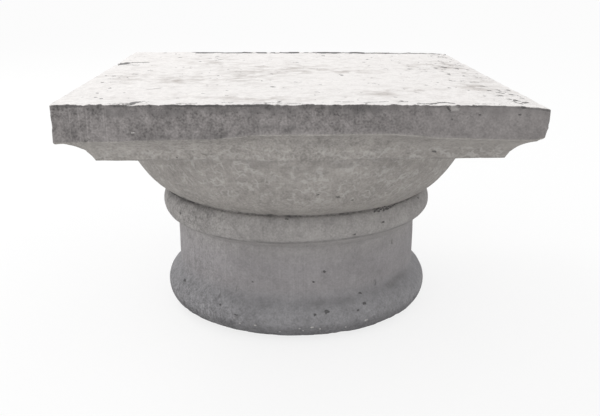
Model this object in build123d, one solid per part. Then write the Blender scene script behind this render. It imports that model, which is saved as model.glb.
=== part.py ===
from build123d import *
import math
import os

# Cast stone column capital, cast in one piece: a square abacus on a round bell and neck.
# Millimetres, +Z up, origin at the centre of the round foot, front face towards -Y.

# Foot: the narrow band that stands on the shaft
foot_height = 9.0
foot_setback = 6.0
foot_chamfer = 1.5

# Astragal: the round bead above the foot
astragal_lower_height = 21.0
astragal_lower_swell = 7.5
astragal_upper_height = 22.0
astragal_upper_fall = 10.0

# Neck: the plain drum, splayed out a little to the beads above and below it
neck_radius = 191.0
neck_height = 101.0
lower_splay_height = 12.0
lower_splay_width = 10.5
upper_splay_height = 14.0
upper_splay_width = 17.5

# Annulet: the drooping bead under the echinus
annulet_lower_height = 14.0
annulet_lower_swell = 4.5
annulet_upper_height = 23.0
annulet_upper_fall = 8.0

# Quirk: the shallow groove between the annulet and the echinus
quirk_height = 2.0
quirk_depth = 3.5

# Echinus: the round cushion that swells out into the square, shaped by the slope and pull at each end
echinus_height = 121.5
echinus_foot_overhang = 0.5
echinus_foot_angle = 27.0
echinus_foot_pull = 49.0
echinus_lip_angle = 65.0
echinus_lip_pull = 46.0
echinus_lip_inset = 12.3

# Cavetto: the square hollow moulding under the fascia
cavetto_band_height = 1.5
cavetto_height = 28.0
cavetto_width = 34.5
cavetto_hollow = 5.5
shelf_width = 1.0

# Abacus: the square slab with a plain upright fascia
abacus_width = 600.0
abacus_corner_radius = 4.0
fascia_height = 49.5
fascia_foot_radius = 3.5
fascia_top_radius = 2.0

# Heights of the joints between the mouldings, from the foot up
astragal_widest_z = foot_height + astragal_lower_height
neck_base_z = astragal_widest_z + astragal_upper_height
annulet_base_z = neck_base_z + neck_height
annulet_widest_z = annulet_base_z + annulet_lower_height
annulet_top_z = annulet_widest_z + annulet_upper_height
echinus_base_z = annulet_top_z + quirk_height
fascia_base_z = echinus_base_z + echinus_height
capital_height = fascia_base_z + fascia_height

# Radii of the turned mouldings, each set out from the neck
foot_radius = neck_radius - foot_setback
astragal_top_radius = neck_radius + lower_splay_width
astragal_radius = astragal_top_radius + astragal_upper_fall
astragal_base_radius = astragal_radius - astragal_lower_swell
annulet_base_radius = neck_radius + upper_splay_width
annulet_radius = annulet_base_radius + annulet_lower_swell
annulet_top_radius = annulet_radius - annulet_upper_fall
quirk_radius = annulet_top_radius - quirk_depth
echinus_base_radius = annulet_top_radius + echinus_foot_overhang

# Half widths of the square mouldings, each set in from the fascia
abacus_half = abacus_width / 2
echinus_lip_radius = abacus_half - echinus_lip_inset
cavetto_top_half = abacus_half - fascia_foot_radius - shelf_width
cavetto_foot_half = cavetto_top_half - cavetto_width


def step(length, angle):
    """Return a step of a given length, at an angle in degrees above the horizontal."""
    return Vector(length * math.cos(math.radians(angle)), length * math.sin(math.radians(angle)))


def bead(base, widest, top):
    """Return the two arcs of a bead that stands upright at its widest point."""
    return [
        TangentArc(widest, base, tangent=(0, -1)),
        TangentArc(widest, top, tangent=(0, 1)),
    ]


def foot_and_astragal():
    """Return the outline from the axis along the foot and up the round bead to the neck."""
    chamfer_start = Vector(foot_radius - foot_chamfer, 0)
    chamfer_end = Vector(foot_radius, foot_chamfer)
    foot_top = Vector(foot_radius, foot_height)
    bead_base = Vector(astragal_base_radius, foot_height)
    bead_widest = Vector(astragal_radius, astragal_widest_z)
    bead_top = Vector(astragal_top_radius, neck_base_z)
    return [
        Line((0, 0), chamfer_start),
        Line(chamfer_start, chamfer_end),
        Line(chamfer_end, foot_top),
        Line(foot_top, bead_base),
        *bead(bead_base, bead_widest, bead_top),
    ]


def neck():
    """Return the outline up the plain drum, with the splays at its two ends."""
    drum_base = Vector(neck_radius, neck_base_z + lower_splay_height)
    drum_top = Vector(neck_radius, annulet_base_z - upper_splay_height)
    return [
        Line((astragal_top_radius, neck_base_z), drum_base),
        Line(drum_base, drum_top),
        Line(drum_top, (annulet_base_radius, annulet_base_z)),
    ]


def annulet_and_quirk():
    """Return the outline round the drooping bead and in and out of the groove above it."""
    bead_base = Vector(annulet_base_radius, annulet_base_z)
    bead_widest = Vector(annulet_radius, annulet_widest_z)
    bead_top = Vector(annulet_top_radius, annulet_top_z)
    quirk_base = Vector(quirk_radius, annulet_top_z)
    quirk_top = Vector(quirk_radius, echinus_base_z)
    return [
        *bead(bead_base, bead_widest, bead_top),
        Line(bead_top, quirk_base),
        Line(quirk_base, quirk_top),
        Line(quirk_top, (echinus_base_radius, echinus_base_z)),
    ]


def echinus():
    """Return the outline of the swelling cushion, quick at its foot and slow at its lip."""
    foot = Vector(echinus_base_radius, echinus_base_z)
    lip = Vector(echinus_lip_radius, fascia_base_z)
    foot_handle = foot + step(echinus_foot_pull, echinus_foot_angle)
    lip_handle = lip - step(echinus_lip_pull, echinus_lip_angle)
    return Bezier(foot, foot_handle, lip_handle, lip)


def turned_bell():
    """Return the foot, astragal, neck, annulet and echinus as one solid of revolution."""
    lip = (echinus_lip_radius, fascia_base_z)
    axis_top = (0, fascia_base_z)
    outline = [
        *foot_and_astragal(),
        *neck(),
        *annulet_and_quirk(),
        echinus(),
        Line(lip, axis_top),
        Line(axis_top, (0, 0)),
    ]
    return revolve(Plane.XZ * make_face(Wire(outline)), axis=Axis.Z)


def cavetto(foot, top):
    """Return the arc of the hollow moulding, whose middle lies in from its chord."""
    chord = top - foot
    inward = Vector(-chord.Y, chord.X).normalized()
    return ThreePointArc(foot, (foot + top) / 2 + inward * cavetto_hollow, top)


def abacus_section():
    """Return the upright section through the square mouldings, both sides of the middle."""
    band_top_z = fascia_base_z - cavetto_height
    band_base = Vector(cavetto_foot_half, band_top_z - cavetto_band_height)
    band_top = Vector(cavetto_foot_half, band_top_z)
    shelf_edge = Vector(cavetto_top_half, fascia_base_z)
    foot_arris_start = Vector(abacus_half - fascia_foot_radius, fascia_base_z)
    foot_arris_end = Vector(abacus_half, fascia_base_z + fascia_foot_radius)
    top_arris_start = Vector(abacus_half, capital_height - fascia_top_radius)
    top_arris_end = Vector(abacus_half - fascia_top_radius, capital_height)
    right_side = [
        Line((0, band_base.Y), band_base),
        Line(band_base, band_top),
        cavetto(band_top, shelf_edge),
        Line(shelf_edge, foot_arris_start),
        TangentArc(foot_arris_start, foot_arris_end, tangent=(1, 0)),
        Line(foot_arris_end, top_arris_start),
        TangentArc(top_arris_start, top_arris_end, tangent=(0, 1)),
        Line(top_arris_end, (0, capital_height)),
        Line((0, capital_height), (0, band_base.Y)),
    ]
    half = make_face(Wire(right_side))
    return half + mirror(half, about=Plane.YZ)


def square_abacus():
    """Return the abacus: two moulded runs mitred at the corners, with rounded upright arrises."""
    run = extrude(Plane.XZ * abacus_section(), amount=abacus_width, both=True)
    crossing_run = Rot(0, 0, 90) * run
    plan = RectangleRounded(abacus_width, abacus_width, abacus_corner_radius)
    return run & crossing_run & extrude(plan, amount=capital_height)


os.makedirs("parts", exist_ok=True)
export_step(square_abacus() + turned_bell(), "parts/column_capital.step")
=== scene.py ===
"""Looks of a cast stone column capital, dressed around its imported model.

The casting is one closed surface: rows follow the outline from the bed to the middle of the top, and columns
stand in fixed directions round the axis. Lengths are in millimetres until the mesh is made, in metres.
"""

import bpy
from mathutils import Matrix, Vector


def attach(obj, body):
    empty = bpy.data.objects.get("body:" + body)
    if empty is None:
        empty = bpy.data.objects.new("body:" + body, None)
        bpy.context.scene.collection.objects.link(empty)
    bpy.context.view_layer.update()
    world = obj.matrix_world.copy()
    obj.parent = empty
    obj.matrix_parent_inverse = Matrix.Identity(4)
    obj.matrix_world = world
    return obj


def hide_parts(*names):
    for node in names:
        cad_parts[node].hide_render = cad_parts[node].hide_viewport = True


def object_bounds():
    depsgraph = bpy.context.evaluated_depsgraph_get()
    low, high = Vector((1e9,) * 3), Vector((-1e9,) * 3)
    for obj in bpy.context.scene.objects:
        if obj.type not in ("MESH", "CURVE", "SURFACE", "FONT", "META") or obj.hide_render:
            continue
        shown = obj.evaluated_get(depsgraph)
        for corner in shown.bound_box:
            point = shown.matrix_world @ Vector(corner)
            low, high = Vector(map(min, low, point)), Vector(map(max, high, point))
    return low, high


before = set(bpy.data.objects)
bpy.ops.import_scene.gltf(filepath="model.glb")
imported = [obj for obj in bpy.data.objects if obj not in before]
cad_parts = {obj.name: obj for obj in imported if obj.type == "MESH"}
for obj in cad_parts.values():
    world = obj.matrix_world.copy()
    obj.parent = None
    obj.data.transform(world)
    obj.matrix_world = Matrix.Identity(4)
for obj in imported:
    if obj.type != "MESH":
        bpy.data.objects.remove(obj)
cad_box = [list(corner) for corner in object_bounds()]

import functools
import itertools
import logging
import math
from dataclasses import dataclass, field
from enum import Enum

import bpy
import numpy as np

Array = np.ndarray
Colour = tuple[float, float, float]
Curve = tuple[tuple[float, ...], tuple[float, ...]]
Point = tuple[float, float, float]
Rows = tuple[Array, Array]
Socket = bpy.types.NodeSocket
Spot = tuple[float, float]
Step = tuple[float, float, float]

log = logging.getLogger("column_capital")

METRES_PER_MM = 0.001
CAD_NODE = "column_capital"
PIECE_NAME = "capital_casting"
LATTICE_VALUES = 4096
LATTICE_PRIMES = (73856093, 19349663, 83492791)
HALF_WIDTH = cad_box[1][0] / METRES_PER_MM
FULL_HEIGHT = cad_box[1][2] / METRES_PER_MM
WHITE = (1.0, 1.0, 1.0, 1.0)


class Side(Enum):
    """The four faces of the abacus, numbered as the columns go round from the front."""

    FRONT = 0
    RIGHT = 1
    BACK = 2
    LEFT = 3


class MarkKind(Enum):
    """What a small mark in the stone is."""

    HOLE = "an air hole or a crack, sunk and dark"
    SPECK = "a pale crumb of lime"


class Facing(Enum):
    """The view in which a mark's place is given: x and height on the front, or x and y on the top."""

    FRONT = "front"
    TOP = "top"


class Field(Enum):
    """The random fields of wear and stains: each one's count on from the first, and its spacing in mm."""

    WAVES = (0, 120.0)
    GRAIN = (1, 26.0)
    TROWEL_WAVES = (8, 66.0)
    TROWEL_GRAIN = (9, 24.0)
    BROKEN_LINES = (20, 14.0)
    NIBBLES = (30, 12.0)
    WIDE_NIBBLES = (34, 42.0)
    CHIP_EDGES = (40, 7.0)
    SEAM_LIP = (50, 30.0)
    DRIPS = (60, (60.0, 60.0, 400.0))
    HEAD = (64, 22.0)
    SEAM_HIGHLIGHT = (66, 24.0)
    TEARS = (68, (24.0, 50.0, 50.0))
    FINE_TEARS = (69, 9.0)
    SMUDGES_AND_SHADE = (80, 14.0)
    STAINS = (84, 36.0)
    PITS = (86, 30.0)
    PAINTED_LIGHT_PATCHES = (88, 40.0)


def soft_noise(points: Array, cell: float | Point, seed: int) -> Array:
    """Return a smooth random field.

    Random numbers sit on a box lattice. Between its nodes they are blended along each axis by
    w = f^3 (6 f^2 - 15 f + 10), where f is the share of the cell that is crossed.

    Args:
        points: places in millimetres, with x, y and z last.
        cell: the lattice spacing in millimetres, one number or one for each axis.
        seed: which random field.

    Returns:
        One number from -1 to 1 for each point.
    """
    values = np.random.default_rng(seed).uniform(-1.0, 1.0, LATTICE_VALUES)
    scaled = points / np.asarray(cell, float)
    base = np.floor(scaled).astype(np.int64)
    share = scaled - base
    blend = share**3 * (share * (share * 6 - 15) + 10)
    total = np.zeros(points.shape[:-1])
    for corner in itertools.product((0, 1), repeat=3):
        key = np.bitwise_xor.reduce((base + np.array(corner)) * np.array(LATTICE_PRIMES), axis=-1)
        weight = np.prod(np.where(np.array(corner) == 1, blend, 1 - blend), axis=-1)
        total += weight * values[key % LATTICE_VALUES]
    return total


def rough_noise(points: Array, cell: float, octaves: int, seed: int) -> Array:
    """Return soft noise summed over octaves, each half as large and half as strong as the last.

    Args:
        points: places in millimetres, with x, y and z last.
        cell: the widest lattice spacing in millimetres.
        octaves: how many fields are summed.
        seed: the first random field.

    Returns:
        One number for each point, mostly from -1 to 1.
    """
    return sum(soft_noise(points, cell / 2**k, seed + k) / 2**k for k in range(octaves))


def smooth_step(value: Array, low: float, high: float) -> Array:
    """Return 0 below low, 1 above high and 3 t^2 - 2 t^3 between, t being the share of the way."""
    share = np.clip((value - low) / (high - low), 0.0, 1.0)
    return share * share * (3 - 2 * share)


def steps(value: Array, table: tuple[Step, ...]) -> Array:
    """Return the sum of smooth steps, each given by its size, where it starts and where it ends."""
    return sum(size * smooth_step(value, low, high) for size, low, high in table)


def window(value: Array, rise: Spot, fall: Spot, depth: float = 1.0) -> Array:
    """Return a smooth step up from 0 to 1, and after it a smooth step down by a depth."""
    return smooth_step(value, *rise) * (1 - depth * smooth_step(value, *fall))


def hump(value: Array, middle: float, width: float) -> Array:
    """Return the bell curve exp(-(d / width)^2), d being the distance from its middle."""
    return np.exp(-(((value - middle) / width) ** 2))


def smooth_maximum(first: Array, second: Array, softness: float) -> Array:
    """Return the larger of two values, with the corner between them filled by a hyperbola."""
    return (first + second + np.sqrt((first - second) ** 2 + softness**2)) / 2


def nearness(places: Array, middle: Point, reach: Point) -> Array:
    """Return the squared distance from a middle, each axis measured in its own reach."""
    return np.sum(((places - middle) / np.array(reach)) ** 2, axis=-1)


def shares(count: int, crowding: float = 1.0) -> Array:
    """Return count shares, above 0 and up to 1, crowded to their start where the power is over 1."""
    return (np.arange(1, count + 1) / count) ** crowding


@dataclass
class Stretch:
    """A run of grid rows along the outline.

    Attributes:
        reach: distance from the axis, by row and column.
        height: height above the bed, by row and column.
        level: height on the plain outline by row, counted on past the top arris towards the middle.
    """

    reach: Array
    height: Array
    level: Array


@dataclass(frozen=True)
class Columns:
    """The directions in which the grid's columns stand round the axis.

    Attributes:
        per_side: columns on each side of the square.
        corner_columns: columns in the last stretch of a side before each corner.
        corner_share: where that stretch starts, as a share of the half side.
    """

    per_side: int = 144
    corner_columns: int = 5
    corner_share: float = 0.98

    def slopes(self) -> Array:
        """Return where every column crosses its side, set closer together near the corners.

        Returns:
            Shares of the half side, from -1 at a side's first corner to just under 1.
        """
        knots = [0, self.corner_columns, self.per_side - self.corner_columns, self.per_side]
        places = [-1.0, -self.corner_share, self.corner_share, 1.0]
        return np.tile(np.interp(np.arange(self.per_side), knots, places), len(Side))

    def lean(self) -> Array:
        """Return each column's angle from the outward direction of its side."""
        return np.arctan(self.slopes())

    def by_side(self, values: tuple[float, ...]) -> Array:
        """Return one value for each column from one value for each side."""
        return np.repeat(values, self.per_side)

    def bearing(self) -> Array:
        """Return each column's angle round the axis, anticlockwise from above, with 0 at the front."""
        return self.lean() + self.by_side(tuple(side.value for side in Side)) * math.pi / 2

    def square(self, half: Array | float, corner: Array | float) -> Array:
        """Return how far a square with rounded corners reaches along each column.

        Along the flat it is half / cos(lean). Past the tangent point of the corner arc, whose centre lies
        d out on the diagonal, it is d cos(b) + sqrt(corner^2 - d^2 sin(b)^2), b being the angle off the
        diagonal.

        Args:
            half: half the side, by row.
            corner: radius of the corner, by row.

        Returns:
            Distances from the axis, by row and column.
        """
        half = np.asarray(half, float).reshape(-1, 1)
        corner = np.asarray(corner, float).reshape(-1, 1)
        lean = np.abs(self.lean())[None, :]
        diagonal = (half - corner) * math.sqrt(2)
        off = lean - math.pi / 4
        inside = np.maximum(corner**2 - (diagonal * np.sin(off)) ** 2, 0.0)
        arc = diagonal * np.cos(off) + np.sqrt(inside)
        return np.where(half * np.tan(lean) > half - corner, arc, half / np.cos(lean))

    def turned(self, rows: Rows) -> Stretch:
        """Return rows of a turned surface, the same along every column.

        Args:
            rows: radii and heights.

        Returns:
            The stretch.
        """
        radius, height = (np.asarray(values, float).reshape(-1, 1) for values in rows)
        ones = np.ones((1, self.lean().size))
        return Stretch(radius * ones, height * ones, height[:, 0])


def run(start: Spot, end: Spot, count: int) -> Rows:
    """Return radii and heights along a straight run, without its start and with its end."""
    t = shares(count)
    return start[0] + (end[0] - start[0]) * t, start[1] + (end[1] - start[1]) * t


def joined(*runs: Rows) -> Rows:
    """Return the radii and the heights of several runs, one after another."""
    return np.concatenate([rows[0] for rows in runs]), np.concatenate([rows[1] for rows in runs])


def quarter(widest: Spot, end: Spot, count: int) -> Rows:
    """Return an arc that stands upright at the widest point of a bead and passes through its end.

    The arc's radius is R = (rise^2 + fall^2) / (2 fall). At the angle a it has fallen R (1 - cos a) and
    risen R sin a.

    Args:
        widest: radius and height of the widest point.
        end: radius and height of the far end, above or below.
        count: rows on the arc after the widest point.

    Returns:
        Radii and heights, from just past the widest point to the end.
    """
    fall = widest[0] - end[0]
    rise = end[1] - widest[1]
    radius = (rise**2 + fall**2) / (2 * fall)
    angle = shares(count) * math.atan2(abs(rise), radius - fall)
    climb = math.copysign(radius, rise) * np.sin(angle)
    return widest[0] - radius * (1 - np.cos(angle)), widest[1] + climb


def bead(base: Spot, widest: Spot, top: Spot, count: int) -> Rows:
    """Return a bead's rows from just past its base, round its widest point, to its top.

    Args:
        base: radius and height of its foot.
        widest: radius and height of its widest point.
        top: radius and height of its head.
        count: rows on each of its two arcs.

    Returns:
        Radii and heights.
    """
    radii, heights = quarter(widest, base, count)
    middle = ([widest[0]], [widest[1]])
    return joined((radii[::-1][1:], heights[::-1][1:]), middle, quarter(widest, top, count))


@dataclass
class Bell:
    """The turned part: foot, astragal, neck, annulet, quirk and echinus, as radii and heights.

    Attributes:
        columns: the directions of the grid's columns.
        bed_shares: the rings on the bed, as shares of its radius.
        echinus_knots: points on the echinus from which its places are looked up by height.
        beyond: how far the echinus is carried on straight past its lip, in height.
    """

    columns: Columns = field(default_factory=Columns)
    bed_shares: tuple[float, ...] = (0.3, 0.6, 0.85, 1.0)
    foot_radius: float = 185.0
    foot_height: float = 9.0
    foot_middle: float = 5.5
    foot_arris: float = 1.5
    astragal_base: Spot = (204.0, 9.0)
    astragal_widest: Spot = (211.5, 30.0)
    astragal_top: Spot = (201.5, 52.0)
    drum_foot: Spot = (191.0, 64.0)
    drum_top: Spot = (191.0, 139.0)
    annulet_base: Spot = (208.5, 153.0)
    annulet_widest: Spot = (213.0, 167.0)
    annulet_top: Spot = (205.0, 190.0)
    quirk_foot: Spot = (203.0, 190.5)
    quirk_top: Spot = (203.8, 191.6)
    quirk_level: float = 191.0
    echinus_foot: Spot = (205.5, 192.0)
    echinus_lip: Spot = (287.7, 313.5)
    foot_angle: float = 27.0
    foot_pull: float = 49.0
    lip_angle: float = 65.0
    lip_pull: float = 46.0
    echinus_knots: int = 400
    ledge_rows: int = 5
    astragal_rows: int = 8
    neck_rows: tuple[int, int, int] = (4, 12, 5)
    annulet_rows: int = 6
    beyond: float = 20.0

    def echinus_curve(self, share: Array) -> Rows:
        """Return the radius and height of the echinus at shares of its Bezier curve.

        The four control points are the foot, the foot plus its pull, the lip less its pull and the lip,
        weighed by (1-t)^3, 3 t (1-t)^2, 3 t^2 (1-t) and t^3.

        Args:
            share: places on the curve, from 0 at its foot to 1 at its lip.

        Returns:
            Radii and heights, shaped as the shares.
        """
        foot, lip = np.array(self.echinus_foot), np.array(self.echinus_lip)
        foot_turn, lip_turn = math.radians(self.foot_angle), math.radians(self.lip_angle)
        foot_handle = foot + self.foot_pull * np.array([math.cos(foot_turn), math.sin(foot_turn)])
        lip_handle = lip - self.lip_pull * np.array([math.cos(lip_turn), math.sin(lip_turn)])
        t = np.asarray(share, float)[..., None]
        weights = ((1 - t) ** 3, 3 * t * (1 - t) ** 2, 3 * t * t * (1 - t), t**3)
        places = sum(w * p for w, p in zip(weights, (foot, foot_handle, lip_handle, lip)))
        return places[..., 0], places[..., 1]

    def echinus_radius(self, height: Array) -> Array:
        """Return the radius of the echinus, carried on straight past its lip.

        Args:
            height: heights above the bed.

        Returns:
            Radii, shaped as the heights.
        """
        radius, level = self.echinus_curve(np.linspace(0.0, 1.0, self.echinus_knots))
        last = radius[-1] + self.beyond / math.tan(math.radians(self.lip_angle))
        return np.interp(height, np.append(level, level[-1] + self.beyond), np.append(radius, last))

    def echinus_share(self, height: Array) -> Array:
        """Return the share of the echinus curve at which a height is reached."""
        share = np.linspace(0.0, 1.0, self.echinus_knots)
        return np.interp(height, self.echinus_curve(share)[1], share)

    def stretches(self) -> list[Stretch]:
        """Return the bed and every moulding up to the foot of the echinus.

        Returns:
            The stretches, from the middle of the bed up.
        """
        rings = np.array(self.bed_shares)
        foot_heights = [self.foot_arris, self.foot_middle, self.foot_height]
        neck = (self.astragal_top, self.drum_foot, self.drum_top, self.annulet_base)
        parts = (
            ((self.foot_radius - self.foot_arris) * rings, np.zeros(rings.size)),
            ([self.foot_radius] * len(foot_heights), foot_heights),
            run((self.foot_radius, self.foot_height), self.astragal_base, self.ledge_rows),
            bead(self.astragal_base, self.astragal_widest, self.astragal_top, self.astragal_rows),
            *itertools.starmap(run, zip(neck, neck[1:], self.neck_rows)),
            bead(self.annulet_base, self.annulet_widest, self.annulet_top, self.annulet_rows),
            tuple(zip(self.quirk_foot, self.quirk_top, self.echinus_foot)),
        )
        return [self.columns.turned(rows) for rows in parts]


@dataclass
class Abacus:
    """The square part: band, cavetto, shelf, fascia and trowelled top.

    Attributes:
        bell: the turned part that it stands on.
        junction_softness: how widely the corner between echinus and cavetto is filled.
        soffit_least: how wide the soffit is at least, before its inner corner is lowered.
        seam_rises: how high the mould seam climbs on each side, turned the other way where negative.
        seam_start: how far up it already is at the corner, as a share.
        seam_climbs: its steps up along a side.
        seam_falls: its steps down.
        seam_fade: how far below the top the seam's rise has faded out of the fascia.
        echinus_rings: how many rows the echinus has, and how crowded they are to its foot.
        top_insets: the first rings of the top, measured in from its arris.
        top_rings: the evenly spaced rings after them.
    """

    bell: Bell = field(default_factory=Bell)
    half: float = HALF_WIDTH
    height: float = FULL_HEIGHT
    corner: float = 1.8
    mitre_corner: float = 1.5
    fascia_height: float = 49.5
    cavetto_height: float = 28.0
    cavetto_width: float = 34.5
    cavetto_hollow: float = 5.5
    band_height: float = 1.5
    shelf_width: float = 1.0
    foot_arris: float = 3.5
    top_arris: float = 1.6
    junction_softness: float = 4.0
    soffit_least: float = 10.0
    seam_rises: tuple[float, ...] = (9.0, -4.0, 5.0, -3.5)
    seam_start: float = 0.12
    seam_climbs: tuple[Step, ...] = ((0.3, -0.95, -0.3), (0.58, -0.38, -0.14))
    seam_falls: tuple[Step, ...] = ((0.6, 0.33, 0.6), (0.38, 0.5, 0.95))
    seam_fade: float = 12.0
    echinus_rings: tuple[int, float] = (26, 1.12)
    soffit_rings: int = 8
    cavetto_rings: int = 17
    arris_rings: int = 5
    face_rings: int = 15
    top_insets: tuple[float, ...] = (1.0, 2.5, 5.0, 8.0, 12.0)
    top_rings: tuple[float, float, int] = (17.0, 285.0, 26)

    def __post_init__(self) -> None:
        """Set out the heights and half widths from the overall size, as the CAD does."""
        self.columns = self.bell.columns
        self.shelf_height = self.height - self.fascia_height
        self.seam_height = self.shelf_height + self.foot_arris
        self.band_top = self.shelf_height - self.cavetto_height
        self.band_base = self.band_top - self.band_height
        self.cavetto_top_half = self.half - self.foot_arris - self.shelf_width
        self.band_half = self.cavetto_top_half - self.cavetto_width

    def seam_rise(self) -> Array:
        """Return how far the mould seam under the fascia rises above its plain height.

        The rise is a low step and a high step on the way in, and two steps down on the way out.

        Returns:
            Millimetres, by column.
        """
        size = self.columns.by_side(self.seam_rises)
        along = self.columns.slopes() * np.sign(size)
        climb = self.seam_start + steps(along, self.seam_climbs)
        return np.abs(size) * climb * (1 - steps(along, self.seam_falls))

    def soffit_drop(self) -> Array:
        """Return how far below the band the inner corner is kept where the soffit runs out.

        Returns:
            Millimetres, by column.
        """
        width = self.columns.square(self.band_half, self.mitre_corner)[0]
        width = width - self.bell.echinus_radius(self.band_base)
        return np.clip(self.soffit_least - width, 0.0, self.soffit_least)

    def echinus_rows(self) -> Stretch:
        """Return the echinus from its foot to the inner corner under the square mouldings.

        Returns:
            The stretch, its rows crowded towards the foot.
        """
        top = self.bell.echinus_share(self.band_base - self.soffit_drop())
        radius, height = self.bell.echinus_curve(shares(*self.echinus_rings)[:, None] * top[None, :])
        return Stretch(radius, height, height.max(axis=1))

    def soffit_rows(self) -> Stretch:
        """Return the soffit, from the inner corner straight out to the arris at the foot of the band.

        Returns:
            The stretch, nowhere inside the echinus.
        """
        t = shares(self.soffit_rings)[:, None]
        inner_height = self.band_base - self.soffit_drop()
        inner = self.bell.echinus_radius(inner_height)
        edge = self.columns.square(self.band_half - self.band_height, self.mitre_corner)[0]
        outer = np.maximum(edge, self.bell.echinus_radius(self.band_base))
        height = inner_height + (self.band_base - inner_height) * t
        reach = np.maximum(inner + (outer - inner) * t, self.bell.echinus_radius(height))
        return Stretch(reach, height, np.full(t.size, self.band_base))

    def cavetto_rows(self) -> Stretch:
        """Return the band and the cavetto, where the echinus doesn't stand further out.

        The cavetto is its chord bent in by 4 h t (1 - t) square to the chord, h being its hollow.

        Returns:
            The stretch, lifted with the mould seam towards its head.
        """
        t = shares(self.cavetto_rings)[:, None]
        rise = self.cavetto_height
        chord = math.hypot(self.cavetto_width, rise)
        bow = 4 * self.cavetto_hollow * t * (1 - t)
        eased = self.band_height * (1 - math.sqrt(0.5))
        lift = self.seam_rise()[None, :]
        hollow_half = self.band_half + self.cavetto_width * t - bow * rise / chord
        hollow_height = self.band_top + (rise + lift) * t + bow * self.cavetto_width / chord
        height = np.concatenate([np.full_like(lift, self.band_base + eased), hollow_height])
        square = self.columns.square(np.append(self.band_half - eased, hollow_half), self.mitre_corner)
        reach = smooth_maximum(square, self.bell.echinus_radius(height), self.junction_softness)
        return Stretch(reach, height, np.append(self.band_base + eased, self.band_top + rise * t))

    def fascia_rows(self) -> Stretch:
        """Return the shelf, the lower arris, the fascia and the top arris.

        Each arris is a quarter circle: it stands in by r (1 - sin a) at its foot and by r (1 - cos a) at its
        head, a going from 0 to 90 degrees.

        Returns:
            The stretch, its foot lifted with the mould seam.
        """
        angle = np.linspace(0.0, math.pi / 2, self.arris_rings)
        face = self.height - self.top_arris - self.seam_height
        face = self.seam_height + face * shares(self.face_rings)
        half = np.concatenate([
            self.half - self.foot_arris * (1 - np.sin(angle)),
            np.full(face.size, self.half),
            self.half - self.top_arris * (1 - np.cos(angle[1:])),
        ])
        level = np.concatenate([
            self.shelf_height + self.foot_arris * (1 - np.cos(angle)),
            face,
            self.height - self.top_arris * (1 - np.sin(angle[1:])),
        ])
        corner = np.maximum(self.corner - (self.half - half), self.mitre_corner)
        fade = 1 - smooth_step(level, self.shelf_height, self.height - self.seam_fade)
        height = level[:, None] + fade[:, None] * self.seam_rise()[None, :]
        return Stretch(self.columns.square(half, corner), height, level)

    def top_rows(self) -> Stretch:
        """Return rings of squares from the top arris towards the middle.

        Returns:
            The stretch, its level counted on by how far in a ring lies.
        """
        inset = np.concatenate([self.top_insets, np.linspace(*self.top_rings)])
        half = self.half - self.top_arris - inset
        reach = self.columns.square(half, self.corner * half / self.half)
        return Stretch(reach, np.full(reach.shape, self.height), self.height + inset)

    def stretches(self) -> list[Stretch]:
        """Return every row of the capital, from the middle of the bed to the middle of the top."""
        square = [self.echinus_rows(), self.soffit_rows(), self.cavetto_rows(), self.fascia_rows()]
        return [*self.bell.stretches(), *square, self.top_rows()]


@dataclass(frozen=True)
class Chip:
    """A piece broken off an arris.

    Attributes:
        place: the middle of the break, in millimetres.
        reach: how far it runs along x, y and z.
        depth: how deep it is at its middle.
        inward: the direction in which the surface is cut back.
        ragged: how uneven its edge is.
        fresh: how pale the broken stone is.
    """

    place: Point
    reach: Point
    depth: float
    inward: Point
    ragged: float = 0.45
    fresh: float = 1.0


@dataclass(frozen=True)
class Patch:
    """A soft-edged patch of another colour: its strength times exp(-q), q being its squared nearness."""

    place: Point
    reach: Point
    strength: float


@dataclass(frozen=True)
class Mark:
    """A small hole, crack or speck.

    Attributes:
        kind: what it is.
        facing: the view in which its place is given.
        start: x and height on the front, or x and y on the top, in millimetres.
        radius: half its width.
        end: the far end of a crack.
    """

    kind: MarkKind
    facing: Facing
    start: Spot
    radius: float
    end: Spot | None = None


def patches_of(*rows: tuple[float, ...]) -> tuple[Patch, ...]:
    """Return patches from rows of x, y, height, the reach along each, and strength."""
    return tuple(Patch(row[:3], row[3:6], row[6]) for row in rows)


def top_patches_of(*rows: tuple[float, ...]) -> tuple[Patch, ...]:
    """Return patches on the top from rows of x, y, the reach along each, and strength."""
    level, deep = 363.0, 30.0
    return patches_of(*((x, y, level, wide, long, deep, strength) for x, y, wide, long, strength in rows))


def marks_of(kind: MarkKind, facing: Facing, *spots: tuple[float, ...]) -> tuple[Mark, ...]:
    """Return marks from spots of x, height or y, and radius, with the far end of a crack after them."""
    return tuple(Mark(kind, facing, spot[:2], spot[2], spot[3:] or None) for spot in spots)


CHIPS = (
    Chip((182, -300, 358), (6.5, 9, 5.5), 3.8, (0, 0.8, -0.6), 0.8, 0.8),
    Chip((160, -299, 362), (15, 5, 4), 1.4, (0, 0.6, -0.8)),
    Chip((-206, -297, 363), (11, 7, 4), 2.2, (0, 0.6, -0.8)),
    Chip((-24, -300, 362), (26, 4, 4), 1.4, (0, 0.5, -0.8)),
    Chip((300, -300, 308), (15, 15, 25), 5.2, (-0.6, 0.6, 0.35), 0.0, 0.15),
    Chip((-299, 104, 363), (9, 16, 9), 6.5, (0.7, 0, -0.7)),
    Chip((-297, 131, 363), (7, 9, 5), 3.5, (0.6, 0, -0.8)),
    Chip((299, 172, 363), (5, 22, 4), 1.0, (-0.6, 0, -0.8)),
    Chip((208, 299, 362), (18, 8, 6), 3.6, (0, -0.7, -0.7)),
    Chip((-118, 299, 363), (26, 6, 5), 2.8, (0, -0.6, -0.8)),
    Chip((64, 300, 317), (16, 8, 7), 3.4, (0, -0.7, 0.6)),
)
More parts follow.
